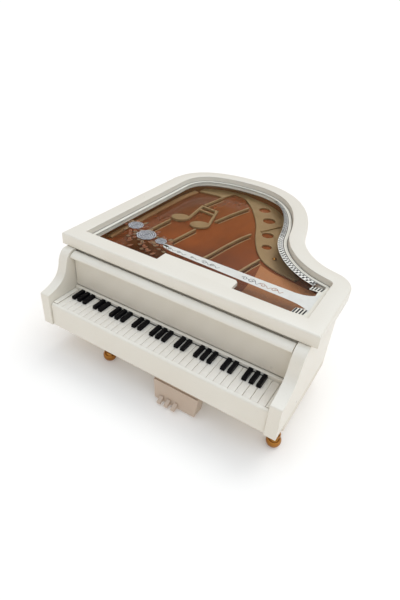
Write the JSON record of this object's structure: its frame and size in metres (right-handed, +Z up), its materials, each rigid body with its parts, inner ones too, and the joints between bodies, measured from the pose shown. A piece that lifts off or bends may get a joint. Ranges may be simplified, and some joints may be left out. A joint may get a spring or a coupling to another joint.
{
  "type": "miniature grand piano",
  "caption": "Miniature grand piano with a glazed hinged lid, folding fallboard, moulded keyboard, ball feet, pedal box and a wind-up musical movement.",
  "frame": {"origin": "middle of the bounding box on the floor under the feet", "axes": "-Y towards the player, +X towards the treble end, +Z up"},
  "size_m": [0.19, 0.212, 0.0842],
  "materials": {
    "ivory": "satin moulded",
    "ivory_shade": "satin moulded",
    "white_key": "semi-gloss",
    "black_key": "semi-gloss",
    "tan": "satin",
    "pane": "clear with printed border",
    "walnut": "high gloss",
    "harp_gold": "gold paint",
    "bright_gold": "polished plating",
    "brass": "satin",
    "steel": "satin"
  },
  "bodies": {
    "case": {"case_rim": "ivory", "base_plate": "ivory_shade", "base_screw_1": "steel", "base_screw_2": "steel", "base_screw_3": "steel", "base_screw_4": "steel", "foot_front_left": "bright_gold", "foot_front_right": "bright_gold", "foot_tail": "bright_gold", "pedal_lyre": "tan", "pedal_left": "tan", "pedal_middle": "tan", "pedal_right": "tan", "key_slip": "ivory", "key_bed": "ivory_shade", "white_keys": "white_key", "black_keys": "black_key", "key_block_bass": "ivory", "key_block_treble": "ivory", "back_rail": "ivory", "soundboard": "walnut", "harp_plate": "harp_gold", "spine_band": "harp_gold", "strut_bass_front": "harp_gold", "strut_bass_rear": "harp_gold", "strut_tenor_front": "harp_gold", "strut_tenor_rear": "harp_gold", "strut_middle": "harp_gold", "strut_middle_on_plate": "harp_gold", "strut_treble": "harp_gold", "note_emblem": "harp_gold", "tuning_block": "walnut", "harp_screw": "bright_gold", "movement_bed": "brass", "comb_block": "brass", "music_comb": "steel", "comb_screw_1": "steel", "comb_screw_2": "steel", "cylinder_bracket": "brass", "gear_bracket": "brass", "fan_bracket": "brass", "lid_hinge_front_case_leaf": "brass", "lid_hinge_rear_case_leaf": "brass"},
    "lid": {"lid_frame": "ivory", "window_pane": "pane", "lid_hinge_front_lid_leaf": "brass", "lid_hinge_rear_lid_leaf": "brass", "lid_hinge_front_pin": "steel", "lid_hinge_rear_pin": "steel"},
    "fallboard": {"fallboard": "ivory"},
    "winding": {"winding_arbor": "steel", "winding_key": "bright_gold"},
    "barrel": {"spring_barrel": "brass", "mainspring": "steel"},
    "cylinder": {"cylinder_arbor": "steel", "cylinder_pinion": "brass", "cylinder_gear": "brass", "music_cylinder": "brass"},
    "fan": {"governor_fan": "steel"}
  },
  "joints": [
    {"name": "lid_hinge", "type": "hinge", "parent": "case", "child": "lid", "pos_m": [-0.0932, 0, 0.0737], "axis": [0, -1, 0], "range_deg": [0, 75]},
    {"name": "fallboard_hinge", "type": "hinge", "parent": "case", "child": "fallboard", "pos_m": [0, -0.07785, 0.0484], "axis": [1, 0, 0], "range_deg": [0, 86]},
    {"name": "key_spin", "type": "hinge", "parent": "case", "child": "winding", "pos_m": [-0.058, -0.00555, 0.0183], "axis": [0, 0, 1], "continuous": true},
    {"name": "barrel_spin", "type": "hinge", "parent": "case", "child": "barrel", "pos_m": [-0.058, -0.00555, 0.0303], "axis": [0, 0, 1], "continuous": true},
    {"name": "cylinder_spin", "type": "hinge", "parent": "case", "child": "cylinder", "pos_m": [-0.026, -0.00555, 0.04148], "axis": [1, 0, 0], "continuous": true},
    {"name": "fan_spin", "type": "hinge", "parent": "case", "child": "fan", "pos_m": [-0.022, -0.01817, 0.04148], "axis": [1, 0, 0], "continuous": true}
  ],
  "couplings": [
    {"joint": "cylinder_spin", "follows": "barrel_spin", "ratio": 3},
    {"joint": "fan_spin", "follows": "barrel_spin", "ratio": -12}
  ]
}
